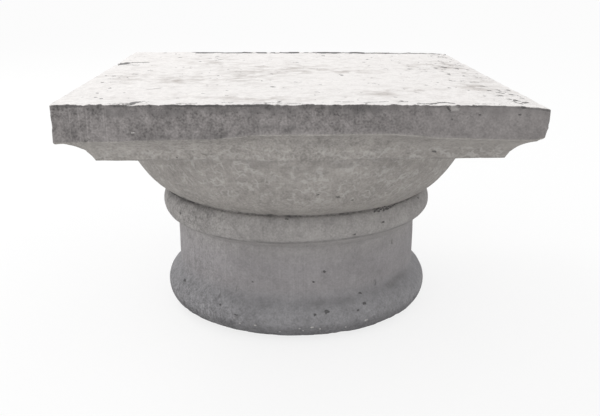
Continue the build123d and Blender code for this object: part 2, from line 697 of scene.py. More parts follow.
# Dirt smudges, and painted shade: darker patches in the creases under the quirk and the annulet, round the
# seam's ledge and along the neck's joint with the astragal.
SMUDGES_AND_SHADE = patches_of(
    (24, -196, 56, 40, 30, 5, 0.3), (60, -188, 56, 30, 30, 5, 0.25), (134, -146, 58, 30, 40, 6, 0.35),
    (160, -118, 62, 26, 40, 7, 0.4), (-80, -182, 56, 30, 30, 5, 0.2), (-176, -109, 189, 22, 30, 5, 0.6),
    (-191, -82, 189, 14, 30, 7, 0.7), (-150, -140, 189, 30, 30, 4, 0.5), (-42, -207, 193, 8, 20, 3.5, 0.7),
    (63, -197, 191, 14, 20, 3, 0.5), (-14, -203, 191, 12, 20, 3, 0.6), (-166, -140, 199, 5, 14, 3, 0.9),
    (-60, -201, 154, 8, 14, 2.5, 0.5), (41, -205, 154, 8, 14, 2.5, 0.4), (-26, -294, 312, 34, 14, 5, 0.4),
    (32, -294, 311, 26, 14, 4.5, 0.4), (96, -294, 311, 32, 14, 3.5, 0.25), (-30, -300, 332, 34, 12, 5, 0.6),
    (-126, -300, 322.5, 66, 12, 3.5, 0.5), (86, -300, 330, 34, 12, 5, 0.35),
    (-112, -300, 361, 44, 10, 2, 0.9), (70, -300, 358, 30, 10, 5, 0.4),
)
PITTED = top_patches_of(
    (262, -262, 30, 36, 1.3), (274, -190, 22, 44, 1.0), (240, -120, 50, 60, 0.6), (276, -20, 22, 60, 0.8),
    (268, 110, 30, 60, 1.1), (276, 240, 26, 50, 1.2), (200, 60, 60, 120, 0.5), (-276, 100, 16, 40, 0.9),
    (-262, -60, 24, 60, 0.6), (-90, -284, 70, 10, 0.8), (80, -284, 90, 9, 0.8), (20, 284, 240, 14, 0.8),
)
TOP_STAINS = top_patches_of(
    (-225, -62, 46, 40, 0.5), (-162, -96, 60, 34, 0.7), (-92, -66, 50, 44, 0.8), (-41, 40, 70, 60, 0.7),
    (60, 20, 60, 46, 0.6), (-96, -251, 46, 16, 0.6), (-40, -260, 56, 14, 0.8), (103, -217, 30, 22, 0.7),
    (155, -183, 44, 20, 0.6), (249, -159, 30, 40, 0.6), (224, 72, 40, 50, 0.7), (267, 113, 22, 50, 0.8),
    (272, -56, 22, 60, 0.6), (-140, 150, 60, 60, 0.4),
)
# Painted light: lighter patches, mostly on the left of the cavetto, the neck and the annulet where the light
# from the left falls, and on the seam's lip.
PAINTED_LIGHT_PATCHES = patches_of(
    (-215, -280, 300, 90, 60, 16, 0.5), (-170, -100, 110, 60, 80, 60, 0.45),
    (-196, -80, 170, 50, 80, 16, 0.35), (60, -210, 150, 16, 20, 8, 0.3),
    (15, -210, 160, 40, 20, 10, 0.35), (6, -300, 322, 7, 12, 12, 0.5),
)
MARKS = (
    marks_of(
        MarkKind.HOLE, Facing.FRONT,
        (166.7, 294.8, 2.3), (21.5, 234.2, 1.4), (48.4, 228.2, 2.0), (68.1, 220.7, 1.6), (181.1, 185.0, 1.7),
        (93.9, 48.8, 2.3), (38.2, 45.5, 3.0), (84.2, 42.3, 1.6), (20.8, 43.0, 1.6), (18.6, 86.7, 1.5),
        (34.4, 101.1, 2.0), (-117.0, 44.3, 1.6), (-92.9, 36.3, 1.4), (-67.7, 83.1, 1.2), (-176.1, 52.8, 2.7),
        (75.9, 160.1, 1.7), (118.4, 171.8, 1.5), (-166.1, 199.4, 2.4), (-40.4, 193.0, 2.2),
        (-18.5, 187.5, 1.6), (262.1, 347.1, 1.0), (212.2, 347.4, 0.8), (199.1, 343.9, 0.7),
        (179.7, 342.8, 0.8), (104.9, 187.4, 0.9, 113.5, 190.3), (111.1, 187.0, 0.8, 121.4, 190.0),
        (118.9, 186.8, 0.9, 129.3, 190.0), (125.3, 187.4, 0.8, 137.6, 190.0),
        (133.6, 188.6, 1.1, 142.4, 194.7), (174.0, 357.0, 0.9, 177.0, 353.5),
    )
    + marks_of(
        MarkKind.SPECK, Facing.FRONT,
        (-203.1, 328.7, 1.8), (-2.2, 23.9, 1.3), (16.4, 25.0, 1.5), (96.7, 24.6, 2.0), (-65.3, 24.7, 1.2),
        (-87.3, 24.0, 1.3), (-94.5, 31.5, 1.2), (66.4, 19.3, 1.2), (-185.7, 15.3, 1.5), (4.0, 20.0, 1.0),
        (28.0, 21.5, 1.1), (-30.0, 17.5, 1.0),
    )
    + marks_of(
        MarkKind.HOLE, Facing.TOP,
        (264, -247, 2.6), (276, -271, 2.2), (279, -205, 2.6), (271, -255, 2.0), (270, -278, 1.8),
        (281, -263, 2.2), (265, -300, 1.8), (-273, -49, 2.4), (-277, -112, 2.0), (-175, -121, 2.4),
        (-154, -253, 1.7), (-257, -246, 1.6), (-248, -258, 1.4), (-36, -159, 2.6), (-138, 221, 2.6),
        (-162, 142, 2.0), (-204, 206, 2.2), (-118, -48, 1.8), (89, -172, 2.0), (205, -162, 2.2),
        (178, -137, 1.8), (-52, -99, 1.8), (284, 112, 2.4), (284, 56, 2.2), (284, 224, 2.6),
        (262, 150, 2.2), (288, 10, 1.8), (255, -225, 1.8), (141, -297, 1.8, 158, -293),
        (158, -293, 2.2, 172, -287), (174, -286, 3.2, 182, -290), (-290, 100, 9.0, -287, 122),
        (-274, 128, 4.0, -252, 134), (-213, -297, 2.0, -204, -295), (-204, -290, 4.0, -198, -282),
        (-150, -296, 0.8, -128, -295), (-60, -288, 0.9, -34, -287), (-30, -293, 0.8, 0, -294),
        (40, -279, 0.9, 62, -280), (80, -282, 1.0, 104, -281), (116, -283, 0.8, 128, -282),
        (-96, -284, 0.8, -84, -283), (-232, -293, 0.8, -214, -292), (210, -290, 0.8, 232, -291),
    )
)
HEAD_ACROSS: Curve = ((-300, -245, -205, 60, 130, 300), (0.2, 0.5, 1.0, 0.95, 0.55, 0.45))
GRIT_ACROSS: Curve = ((-300, -60, 60, 160, 300), (1.5, 1.7, 1.7, 1.0, 0.8))
GRIT_BY_LEVEL: Curve = (
    (0, 12, 40, 62, 148, 160, 186, 215, 300, 314, 318, 344, 352, 363),
    (1.3, 1.2, 1.0, 0.6, 0.6, 0.9, 0.9, 1.0, 0.8, 0.8, 1.15, 1.2, 1.7, 1.9),
)


@dataclass
class Skin:
    """The finished surface of the casting.

    Attributes:
        places: points by row and column, in millimetres.
        normals: outward directions of the points.
        paints: named numbers of the points, by row and column, that the finish reads as attributes.
        least_facing: how far a point has to face a view to be seen in it.
    """

    places: Array
    normals: Array
    paints: dict[str, Array]
    least_facing: float = 0.15

    def spot(self, facing: Facing, first: float, second: float) -> Point:
        """Return the point of the surface that lies behind a place in a flat view.

        It is found on the tangent plane of the nearest grid point in that view.

        Args:
            facing: the view.
            first: x in millimetres.
            second: the height on the front, or y on the top.

        Returns:
            The point, in metres.
        """
        across, deep, towards = (2, 1, -1.0) if facing is Facing.FRONT else (1, 2, 1.0)
        seen = self.normals[..., deep] * towards > self.least_facing
        away = (self.places[..., 0] - first) ** 2 + (self.places[..., across] - second) ** 2
        nearest = np.unravel_index(np.argmin(np.where(seen, away, np.inf)), away.shape)
        place, normal = self.places[nearest].copy(), self.normals[nearest]
        slope = normal[0] * (first - place[0]) + normal[across] * (second - place[across])
        place[deep] -= slope / normal[deep]
        place[0], place[across] = first, second
        return tuple(float(v) for v in place * METRES_PER_MM)


def outward(places: Array) -> Array:
    """Return outward directions: the cross product of the steps along the rows and the columns.

    Args:
        places: points by row and column.

    Returns:
        Unit vectors, by row and column.
    """
    along = np.roll(places, -1, axis=1) - np.roll(places, 1, axis=1)
    cross = np.cross(along, np.gradient(places, axis=0))
    return cross / np.maximum(np.linalg.norm(cross, axis=-1, keepdims=True), 1e-9)


@dataclass
class Casting:
    """The whole capital as one closed surface, with its wear and the numbers that its finish reads.

    Attributes:
        abacus: the square part, on its bell.
        seed: the first random field.
        twist: how far the line under the annulet rises and falls round the neck.
        sag: how far the top has sagged at its right end.
        edge_sag: how much further it falls at the right edge.
        edge_sag_lean: how much more of that there is at the front and less at the back.
        waves: how high the wide waves stand.
        grain: how high the grain of the mould faces stands.
        trowel_grain: how high the grain of the top stands.
        face_set_back: how far the mould faces lie inside the plain form.
        trowel_set_back: how far the top lies below it.
        twist_width: how far up and down the twist is carried from that line.
        line_depth: how deep the scribed line under the annulet is.
        quirk_depth: how deep the broken quirk is.
        groove_width: half the width of both.
        corner_shares: where the wear of an upright arris starts and is full, in shares of the half side.
        lip_height: how far the lip of paste on the mould seam stands out.
        lip_width: half its width.
        set_back: how far the fascia stands back above the seam.
        set_back_rise: how high above the seam that is deepest.
        set_back_width: half the width over which it is.
        head_reach: how far below the top the dirt of the head starts and is full.
        highlight_span: where along a side the seam's painted highlight starts and fades, as in window().
        highlight_fade: how much of it fades.
        rim_start: where the torn strip at the back begins.
        rim_width: over what width it rises to 1.
        rim_span: where along the back it starts and fades.
        rim_fade: how much of it fades.
        torn: the noise at which it starts and is full.
        sag_rise: how far above the shelf the sag of the top starts.
    """

    abacus: Abacus = field(default_factory=Abacus)
    seed: int = 71
    twist: float = 2.6
    sag: float = 3.6
    edge_sag: float = 4.0
    edge_sag_lean: float = 1.6
    waves: float = 0.5
    grain: float = 0.28
    trowel_grain: float = 0.4
    face_set_back: float = 0.2
    trowel_set_back: float = 0.5
    twist_width: float = 9.0
    line_depth: float = 0.5
    quirk_depth: float = 0.8
    groove_width: float = 1.8
    corner_shares: Spot = (0.982, 0.998)
    lip_height: float = 0.5
    lip_width: float = 1.6
    set_back: float = 1.2
    set_back_rise: float = 6.0
    set_back_width: float = 5.0
    head_reach: Spot = (18.0, 4.0)
    highlight_span: tuple[Spot, Spot] = ((-0.5, -0.25), (0.4, 0.8))
    highlight_fade: float = 0.7
    rim_start: float = 264.0
    rim_width: float = 26.0
    rim_span: tuple[Spot, Spot] = ((-205.0, -180.0), (190.0, 240.0))
    rim_fade: float = 0.45
    torn: Spot = (-0.95, -0.45)
    sag_rise: float = 8.0

    def __post_init__(self) -> None:
        """Set out the plain surface: reach times the column's direction, the height, and the level."""
        parts = self.abacus.stretches()
        self.bell = self.abacus.bell
        self.level = np.concatenate([part.level for part in parts])[:, None]
        reach = np.concatenate([part.reach for part in parts])
        bearing = self.abacus.columns.bearing()[None, :]
        near = hump(self.level, self.bell.annulet_base[1], self.twist_width)
        twist = self.twist * np.sin(2 * bearing) * near
        height = np.concatenate([part.height for part in parts]) + twist
        self.places = np.stack([reach * np.sin(bearing), -reach * np.cos(bearing), height], axis=-1)
        self.x, self.y = self.places[..., 0], self.places[..., 1]
        self.slope = self.abacus.columns.slopes()[None, :]

    def soft(self, which: Field) -> Array:
        """Return a soft noise over the surface."""
        offset, cell = which.value
        return soft_noise(self.places, cell, self.seed + offset)

    def rough(self, which: Field, octaves: int = 3) -> Array:
        """Return a rough noise over the surface, summed over octaves."""
        offset, cell = which.value
        return rough_noise(self.places, cell, octaves, self.seed + offset)

    def top_fall(self) -> Array:
        """Return how far the trowelled top has sagged: little at the left, most at the right front corner.

        With s the share of the way across, the fall is sag s^2 + (edge sag - lean y / half) s^20.

        Returns:
            Millimetres, by row and column.
        """
        across = np.clip((self.x / self.abacus.half + 1) / 2, 0.0, 1.0)
        edge = self.edge_sag - self.edge_sag_lean * self.y / self.abacus.half
        return self.sag * across**2 + edge * across**20

    def relief(self) -> Array:
        """Return how far the surface stands out of the plain form: gentle waves, and a rougher top.

        Returns:
            Millimetres along the normal, by row and column.
        """
        top = smooth_step(self.level, self.abacus.height - 1.0, self.abacus.height + 2.0)
        face = self.waves * self.soft(Field.WAVES) + self.grain * self.rough(Field.GRAIN)
        trowel = self.waves * self.soft(Field.TROWEL_WAVES)
        trowel = trowel + self.trowel_grain * self.rough(Field.TROWEL_GRAIN)
        return (face - self.face_set_back) * (1 - top) + (trowel - self.trowel_set_back) * top

    def grooves(self) -> Array:
        """Return the depth of the scribed line at the foot of the annulet and of the broken quirk.

        Returns:
            Millimetres along the normal, by row and column.
        """
        broken = np.clip(0.6 + 0.7 * self.soft(Field.BROKEN_LINES), 0.0, 2.0)
        line = self.line_depth * hump(self.level, self.bell.annulet_base[1], self.groove_width)
        quirk = self.quirk_depth * hump(self.level, self.bell.quirk_level, self.groove_width)
        return broken * (line + quirk)

    def edge_wear(self) -> Array:
        """Return how far the arrises are nibbled back, each by a bell curve of noise round its level.

        Returns:
            Millimetres along the normal, by row and column.
        """
        abacus, level = self.abacus, self.level
        nibble = np.clip(self.rough(Field.NIBBLES) + 0.15, 0.0, 1.6)
        coarse = np.clip(self.soft(Field.WIDE_NIBBLES), 0.0, 1.0)
        arrises = (
            (abacus.height - 0.5, 2.0, 0.6 + smooth_step(self.y, 250.0, 290.0)),
            (abacus.shelf_height + 1.5, 2.5, 0.3),
            (abacus.band_base, 1.2, 0.3),
            (self.bell.foot_height + 0.5, 2.6, 0.9),
            (0.8, 1.4, 0.7),
        )
        edges = sum(strength * hump(level, middle, width) for middle, width, strength in arrises)
        corner = smooth_step(np.abs(self.slope), *self.corner_shares)
        rise = (abacus.band_top, abacus.band_top + 6.0)
        upright = corner * window(level, rise, (abacus.height - 4.0, abacus.height + 4.0))
        worn = edges * (nibble + 0.6 * coarse) * (1 - 0.7 * corner)
        return worn + upright * np.clip(nibble - 0.55, 0.0, 1.0) * 1.6

    def chip_cuts(self) -> tuple[Array, Array]:
        """Return what the chips take away.

        Each cut is its depth times 1 - q, where q is its squared nearness made ragged by noise, and nothing
        where q is over 1.

        Returns:
            How every point is moved, and how pale it is left.
        """
        noise = self.rough(Field.CHIP_EDGES, 2)
        move = np.zeros_like(self.places)
        pale = np.zeros(noise.shape)
        for chip in CHIPS:
            q = nearness(self.places, chip.place, chip.reach) * (1 + chip.ragged * noise)
            depth = chip.depth * np.clip(1 - q, 0.0, 1.0)
            move += depth[..., None] * np.array(chip.inward)
            pale += depth * chip.fresh
        return move, pale

    def seam_lip(self) -> Array:
        """Return the relief of the mould seam: a thin lip of paste, and the fascia set back above it.

        Returns:
            Millimetres along the normal, by row and column.
        """
        seam = self.abacus.seam_height
        strong = smooth_step(self.abacus.seam_rise()[None, :], 1.5, 6.0)
        strong = strong * (0.8 + 0.3 * self.soft(Field.SEAM_LIP))
        lip = self.lip_height * hump(self.level, seam, self.lip_width)
        set_back = self.set_back * hump(self.level, seam + self.set_back_rise, self.set_back_width)
        return strong * (lip - set_back)

    def patches(self, patches: tuple[Patch, ...], which: Field) -> Array:
        """Return the summed strength of soft patches, broken up by noise.

        Args:
            patches: the patches.
            which: the noise's first random field.

        Returns:
            Numbers from 0, by row and column.
        """
        soft = (p.strength * np.exp(-nearness(self.places, p.place, p.reach)) for p in patches)
        return sum(soft) * np.clip(0.85 + 0.6 * self.rough(which), 0.0, 1.6)

    def head(self) -> Array:
        """Return how dirty the head of the fascia is: a ragged strip, strongest left of the middle.

        Returns:
            Numbers from 0 to 1, by row and column.
        """
        top = self.abacus.height
        strength = np.interp(self.x * np.where(self.y < 0, 1, -1), *HEAD_ACROSS)
        start, full = (top - reach for reach in self.head_reach)
        strip = smooth_step(self.level + 5.0 * self.rough(Field.HEAD), start, full)
        return strength * strip * (1 - smooth_step(self.level, top, top + 1.0))

    def seam_line(self) -> Array:
        """Return the pale line on the lip of the mould seam, right of the middle of each side: painted
        highlight where the lip of paste catches the light.

        Returns:
            Numbers from 0, by row and column.
        """
        along = window(self.slope, *self.highlight_span, self.highlight_fade)
        broken = np.clip(0.7 + 0.7 * self.soft(Field.SEAM_HIGHLIGHT), 0.0, 1.3)
        return 0.9 * along * broken * hump(self.level, self.abacus.seam_height - 1.2, 2.4)

    def rim(self) -> Array:
        """Return how far the top is torn along its back edge, rising from 0 to 1 in a broken strip; its dark
        colour is painted shade of the torn lip.

        Returns:
            Numbers from 0 to 1, by row and column.
        """
        strip = np.clip((self.y - self.rim_start) / self.rim_width, 0.0, 1.0)
        strip = strip * smooth_step(self.level, self.abacus.height - 4.0, self.abacus.height - 1.0)
        along = window(self.x, *self.rim_span, self.rim_fade)
        torn = self.soft(Field.TEARS) + 0.5 * self.soft(Field.FINE_TEARS)
        return strip * along * smooth_step(torn, *self.torn)

    def grit(self) -> Array:
        """Return how strong the texture is: coarse at the head and left of the abacus, faint on the neck.

        Returns:
            Factors, by row and column.
        """
        left = smooth_step(-self.x, 60.0, 150.0) * (1 - smooth_step(self.level, 180.0, 220.0))
        square = smooth_step(self.level, self.abacus.band_base, self.abacus.band_top)
        sideways = square * np.interp(self.x, *GRIT_ACROSS) + (1 - square) * (1 + left)
        return np.interp(self.level, *GRIT_BY_LEVEL) * sideways

    def streaks(self) -> Array:
        """Return where light drips run down: the left of the front fascia, and here and there on the bell.

        Returns:
            Numbers from 0, by row and column.
        """
        fascia = smooth_step(self.level, self.abacus.shelf_height, self.abacus.shelf_height + 4.0)
        left = smooth_step(-self.x, 150.0, 260.0) * smooth_step(-self.y, 250.0, 290.0)
        patchy = 0.5 * np.clip(self.soft(Field.DRIPS) - 0.2, 0.0, 1.0)
        neck = smooth_step(-self.x, 60.0, 150.0) * window(self.level, (56.0, 76.0), (140.0, 160.0))
        return patchy + fascia * left + (1 - fascia) * 0.6 * neck

    def skin(self) -> Skin:
        """Return the finished surface, with all its wear, kept inside the CAD's box.

        Returns:
            The points, their normals and their numbers.
        """
        half, height = self.abacus.half, self.abacus.height
        wear = self.edge_wear()
        cuts, pale = self.chip_cuts()
        out = np.where(self.level <= 0.0, 0.0, self.relief() + self.seam_lip() - self.grooves() - wear)
        moved = self.places + outward(self.places) * out[..., None] + cuts
        sag_start = self.abacus.shelf_height + self.sag_rise
        moved[..., 2] -= self.top_fall() * smooth_step(self.level, sag_start, height)
        moved = np.clip(moved, (-half, -half, 0.0), (half, half, height))
        paints = {
            "level": self.level * np.ones_like(wear),
            "wear": wear + pale,
            # Dirt, and painted shade in creases and under ledges.
            "dirt_and_shade": self.patches(SMUDGES_AND_SHADE, Field.SMUDGES_AND_SHADE),
            "head": self.head(),
            "stain": self.patches(TOP_STAINS, Field.STAINS),
            "pitted": self.patches(PITTED, Field.PITS),
            "rim": self.rim(),
            # Painted light: the light patches and the lit lip of the seam.
            "painted_light": self.patches(PAINTED_LIGHT_PATCHES, Field.PAINTED_LIGHT_PATCHES) + self.seam_line(),
            "grit": self.grit(),
            "streak": self.streaks(),
        }
        return Skin(moved, outward(moved), paints)

    def build(self, skin: Skin) -> bpy.types.Object:
        """Return the casting's object, closed at both poles.

        Args:
            skin: the finished surface.

        Returns:
            The object, linked to the scene.
        """
        row_count, column_count = skin.places.shape[:2]
        grid = np.arange(row_count * column_count).reshape(row_count, column_count)
        after = np.roll(grid, -1, axis=1)
        quads = np.stack([grid[:-1], after[:-1], after[1:], grid[1:]], axis=-1).reshape(-1, 4)
        bed_fan = np.stack([after[0], grid[0], np.full(column_count, grid.size)], axis=-1)
        top_fan = np.stack([grid[-1], after[-1], np.full(column_count, grid.size + 1)], axis=-1)
        poles = np.array([[0.0, 0.0, 0.0], [0.0, 0.0, skin.places[-1, :, 2].mean()]])
        points = np.concatenate([skin.places.reshape(-1, 3), poles]) * METRES_PER_MM
        mesh = bpy.data.meshes.new(PIECE_NAME)
        mesh.from_pydata(points, [], [*quads.tolist(), *bed_fan.tolist(), *top_fan.tolist()])
        mesh.polygons.foreach_set("use_smooth", np.ones(len(mesh.polygons), bool))
        for name, values in skin.paints.items():
            ends = [values[0].mean(), values[-1].mean()]
            numbers = np.append(values.ravel(), ends).astype(np.float32)
            mesh.attributes.new(name, "FLOAT", "POINT").data.foreach_set("value", numbers)
        mesh.update()
        casting = bpy.data.objects.new(PIECE_NAME, mesh)
        bpy.context.scene.collection.objects.link(casting)
        return casting


@dataclass(frozen=True)
class Signal:
    """A number, vector or colour that changes over the surface: one output of a node.

    Attributes:
        nodes: the tree that it belongs to.
        socket: the output.
    """

    nodes: "Nodes"
    socket: Socket

    def __add__(self, other: "Signal | float") -> "Signal":
        """Return the sum."""
        return self.nodes.math("ADD", self, other)

    def __sub__(self, other: "Signal | float") -> "Signal":
        """Return the difference."""
        return self.nodes.math("SUBTRACT", self, other)

    def __mul__(self, other: "Signal | float") -> "Signal":
        """Return the product."""
        return self.nodes.math("MULTIPLY", self, other)

    def __truediv__(self, other: "Signal | float") -> "Signal":
        """Return the quotient."""
        return self.nodes.math("DIVIDE", self, other)

    def swing(self, strength: float) -> "Signal":
        """Return how far a noise lies from its middle value of a half, times a strength."""
        return (self - 0.5) * strength

    def ramp(self, low: float, high: float, start: float = 0.0, end: float = 1.0) -> "Signal":
        """Return start below low, end above high and a smooth step between."""
        inputs = {"Value": self, "From Min": low, "From Max": high, "To Min": start, "To Max": end}
        return self.nodes.add("ShaderNodeMapRange", inputs, interpolation_type="SMOOTHSTEP")

    def line(self, middle: float, half_width: float) -> "Signal":
        """Return 1 where a value is at a middle, falling to 0 at a half width from it."""
        away = self.nodes.math("ABSOLUTE", self - middle)
        return away.ramp(0.25 * half_width, half_width, 1.0, 0.0)


class Nodes:
    """A node tree that is written as expressions: each method adds a node and returns its output."""

    def __init__(self, tree: bpy.types.NodeTree) -> None:
        """Start on an emptied node tree."""
        self.tree = tree
        tree.nodes.clear()

    def node(self, kind: str, inputs: dict | None = None, **settings: object) -> bpy.types.Node:
        """Add a node, with its settings and its inputs.

        Args:
            kind: the node's type name.
            inputs: values or signals by input name or number.
            settings: attributes of the node.

        Returns:
            The node.
        """
        node = self.tree.nodes.new(kind)
        for name, value in settings.items():
            setattr(node, name, value)
        for key, value in (inputs or {}).items():
            if isinstance(value, Signal):
                self.tree.links.new(value.socket, node.inputs[key])
            else:
                node.inputs[key].default_value = value
        return node

    def add(self, kind: str, inputs: dict | None = None, output: int | str = 0, **settings: object) -> Signal:
        """Add a node and return one of its outputs, given by name or number."""
        return Signal(self, self.node(kind, inputs, **settings).outputs[output])

    def math(self, operation: str, first: object, second: object = 0.0) -> Signal:
        """Return the result of a Math node."""
        return self.add("ShaderNodeMath", {0: first, 1: second}, operation=operation)

    def vector(self, operation: str, first: object, second: object, output: str = "Vector") -> Signal:
        """Return an output of a Vector Math node."""
        return self.add("ShaderNodeVectorMath", {0: first, 1: second}, output, operation=operation)

    def scaled(self, place: Signal, scale: Point) -> Signal:
        """Return a vector with each axis scaled."""
        return self.vector("MULTIPLY", place, scale)

    def noise(self, place: Signal, scale: float, detail: float = 2.0) -> Signal:
        """Return a noise from 0 to 1, with the scale counted per metre."""
        return self.add("ShaderNodeTexNoise", {"Vector": place, "Scale": scale, "Detail": detail})

    def paint(self, name: str) -> Signal:
        """Return one of the numbers that the casting carries at its points."""
        return self.add("ShaderNodeAttribute", output="Fac", attribute_name=name)

    def tint(self, factor: object, first: object, second: object, blend: str = "MIX") -> Signal:
        """Return two colours mixed by a factor, or blended in another named way."""
        pair = [value if isinstance(value, Signal) else (*value, 1.0) for value in (first, second)]
        inputs = {0: factor, 6: pair[0], 7: pair[1]}
        settings = {"data_type": "RGBA", "blend_type": blend, "clamp_factor": True}
        return self.add("ShaderNodeMix", inputs, 2, **settings)

    def shaded(self, colour: Signal, strength: Signal) -> Signal:
        """Return a colour times a number."""
        grey = self.add("ShaderNodeCombineColor", {0: strength, 1: strength, 2: strength})
        return self.tint(1.0, colour, grey, "MULTIPLY")

    def colours_along(self, value: Signal, stops: tuple[tuple[float, Colour], ...]) -> Signal:
        """Return a colour that changes along a value.

        Args:
            value: the number, from 0 to 1.
            stops: each colour and the value at which it stands.

        Returns:
            The colour.
        """
        node = self.node("ShaderNodeValToRGB", {0: value})
        elements = node.color_ramp.elements
        for _ in range(len(stops) - 2):
            elements.new(0.5)
        for element, (place, colour) in zip(elements, stops):
            element.position = place
            element.color = (*colour, 1.0)
        return Signal(self, node.outputs[0])


def shown(red: float, green: float, blue: float) -> Colour:
    """Return the linear colour of a display colour from 0 to 255: ((c / 255 + 0.055) / 1.055)^2.4."""
    return tuple(((value / 255 + 0.055) / 1.055) ** 2.4 for value in (red, green, blue))


@dataclass(frozen=True)
class Ground:
    """What the whole finish is drawn on.

    Attributes:
        nodes: the material's tree.
        place: Object coordinates.
        stretched: Object coordinates, stretched as the stone's air holes are.
        level: height on the plain outline.
        grain: a fine noise.
        mottle: a coarser noise.
    """

    nodes: Nodes
    place: Signal
    stretched: Signal
    level: Signal
    grain: Signal
    mottle: Signal


@dataclass(frozen=True)
class CastStone:
    """The finish of the casting: grey mould faces under a paler trowelled top, its near white partly painted
    sunlight.

    Colours are linear, scales are counted per metre, and shade lines and edges are levels in millimetres.
    Each share says how much of a colour is mixed in, and each height or depth is in millimetres of relief.
    """

    # The foot and the astragal's lower face are darker: painted shade under the astragal.
    foot: Colour = shown(98, 97, 98)
    astragal_foot: Colour = shown(120, 119, 121)
    astragal: Colour = shown(138, 137, 139)
    neck: Colour = shown(143, 140, 141)
    annulet: Colour = shown(149, 146, 144)
    echinus: Colour = shown(149, 145, 141)
    cavetto: Colour = shown(151, 147, 143)
    fascia: Colour = shown(132, 128, 127)
    # The top's pale trowelled paste, partly painted sunlight: its near white stands for the sun falling on
    # the top.
    trowelled_and_sunlit: Colour = shown(235, 232, 230)
    trowel_stain: Colour = shown(190, 184, 180)
    hole_shadow: Colour = shown(78, 77, 77)
    # Dark colour of dirt, and of painted shade: in creases, under ledges, on the torn back edge and in the
    # top's pits.
    dirt_and_shade: Colour = shown(90, 88, 88)
    lime: Colour = shown(200, 197, 194)
    worn: Colour = shown(190, 187, 184)
    grain_scale: float = 360.0
    mottle_scale: float = 125.0
    blotch_scale: float = 42.0
    cloud_scale: float = 12.0
    level_span: float = 400.0
    annulet_shade_line: float = 152.2
    quirk_shade_line: float = 191.2
    band_shade_line: float = 284.6
    top_shade_line: float = 360.4
    seam: Spot = (315.4, 316.8)
    top_edge: Spot = (361.8, 362.6)
    mark_stretch: Point = (0.8, 0.8, 1.5)
    mark_softness: float = 0.0006
    squiggle_share: float = 0.31
    squiggle_height: float = 0.2
    dirt_and_shade_share: float = 0.75
    dirt_and_shade_depth: float = 0.4
    speck_share: float = 0.8
    hole_share: float = 0.8
    hole_depth: float = 1.2
    pit_shade_share: float = 0.7
    pit_depth: float = 0.8
    rim_edge: Spot = (0.42, 0.54)
    wear_edge: Spot = (0.9, 2.8)
    wear_share: float = 0.55
    roughness: Spot = (0.8, 0.95)
    relief_height: float = METRES_PER_MM
    specular: float = 0.3

    def level_stops(self) -> tuple[tuple[float, Colour], ...]:
        """Return the colours of the mouldings by level, as shares of the span.

        Returns:
            Each colour after the share at which it stands.
        """
        levels = (
            (0.0, self.foot), (9.0, self.foot), (11.0, self.astragal_foot), (20.0, self.astragal_foot),
            (30.0, self.astragal), (56.0, self.astragal), (76.0, self.neck), (108.0, self.neck),
            (160.0, self.annulet), (186.0, self.annulet), (196.0, self.echinus), (280.0, self.echinus),
            (290.0, self.cavetto),
        )
        return tuple((level / self.level_span, colour) for level, colour in levels)

    def build(self, skin: Skin) -> bpy.types.Material:
        """Return the material, drawn on Object coordinates and on the numbers that the casting carries.

        Args:
            skin: the finished surface, on which the small marks are placed.

        Returns:
            The material.
        """
        material = bpy.data.materials.new("cast_stone")
        material.use_nodes = True
        nodes = Nodes(material.node_tree)
        place = nodes.add("ShaderNodeTexCoord", output="Object")
        grain = nodes.noise(place, self.grain_scale, 3.0)
        mottle = nodes.noise(place, self.mottle_scale, 3.0)
        stretched = nodes.scaled(place, self.mark_stretch)
        ground = Ground(nodes, place, stretched, nodes.paint("level"), grain, mottle)
        face, face_height = self.mould_face(ground)
        slab, slab_height = self.trowelled_top(ground)
        top = (ground.level + mottle.swing(5.0)).ramp(*self.top_edge)
        height = nodes.add("ShaderNodeMix", {0: top, 2: face_height, 3: slab_height})
        worn = (nodes.paint("wear") + mottle.swing(1.5)).ramp(*self.wear_edge, 0.0, self.wear_share)
        torn = nodes.noise(nodes.scaled(place, (70.0, 140.0, 70.0)), 1.0, 3.0)
        rim = (nodes.paint("rim") + torn.swing(1.2)).ramp(*self.rim_edge)
        specks = self.marks(ground, skin, MarkKind.SPECK)
        holes = nodes.math("MAXIMUM", self.marks(ground, skin, MarkKind.HOLE), self.pores(ground))
        colour = nodes.tint(top, face, slab)
        colour = nodes.tint(worn, colour, self.worn)
        # Painted shade along the torn back edge of the top.
        colour = nodes.tint(rim, colour, self.dirt_and_shade)
        colour = nodes.tint(specks * self.speck_share, colour, self.lime)
        colour = nodes.tint(holes * self.hole_share, colour, self.hole_shadow)
        height -= holes * self.hole_depth
        bump = {"Strength": 1.0, "Distance": self.relief_height, "Height": height}
        shader = nodes.add("ShaderNodeBsdfPrincipled", {
            "Base Color": colour,
            "Roughness": mottle.ramp(0.3, 0.7, *self.roughness),
            "Normal": nodes.add("ShaderNodeBump", bump),
            "Specular IOR Level": self.specular,
        })
        nodes.node("ShaderNodeOutputMaterial", {"Surface": shader})
        return material

    def mould_face(self, ground: Ground) -> tuple[Signal, Signal]:
        """Return the finish of the faces that were cast in the mould, with painted shade in their creases and
        under their ledges.

        Args:
            ground: what it is drawn on.

        Returns:
            The colour, and the height in millimetres.
        """
        nodes, level, grain, mottle = ground.nodes, ground.level, ground.grain, ground.mottle
        grit = nodes.paint("grit")
        blotch = nodes.noise(ground.place, self.blotch_scale, 3.0)
        cloud = nodes.noise(ground.place, self.cloud_scale, 3.0)
        along = (level + (blotch.swing(4.0) + mottle.swing(4.0))) / self.level_span
        above_seam = (level + mottle.swing(3.0)).ramp(*self.seam)
        base = nodes.tint(above_seam, nodes.colours_along(along, self.level_stops()), self.fascia)
        fine = grit * (grain.swing(0.75) + mottle.swing(0.6) + blotch.swing(0.22))
        wide = blotch.swing(0.18) + cloud.swing(0.35)
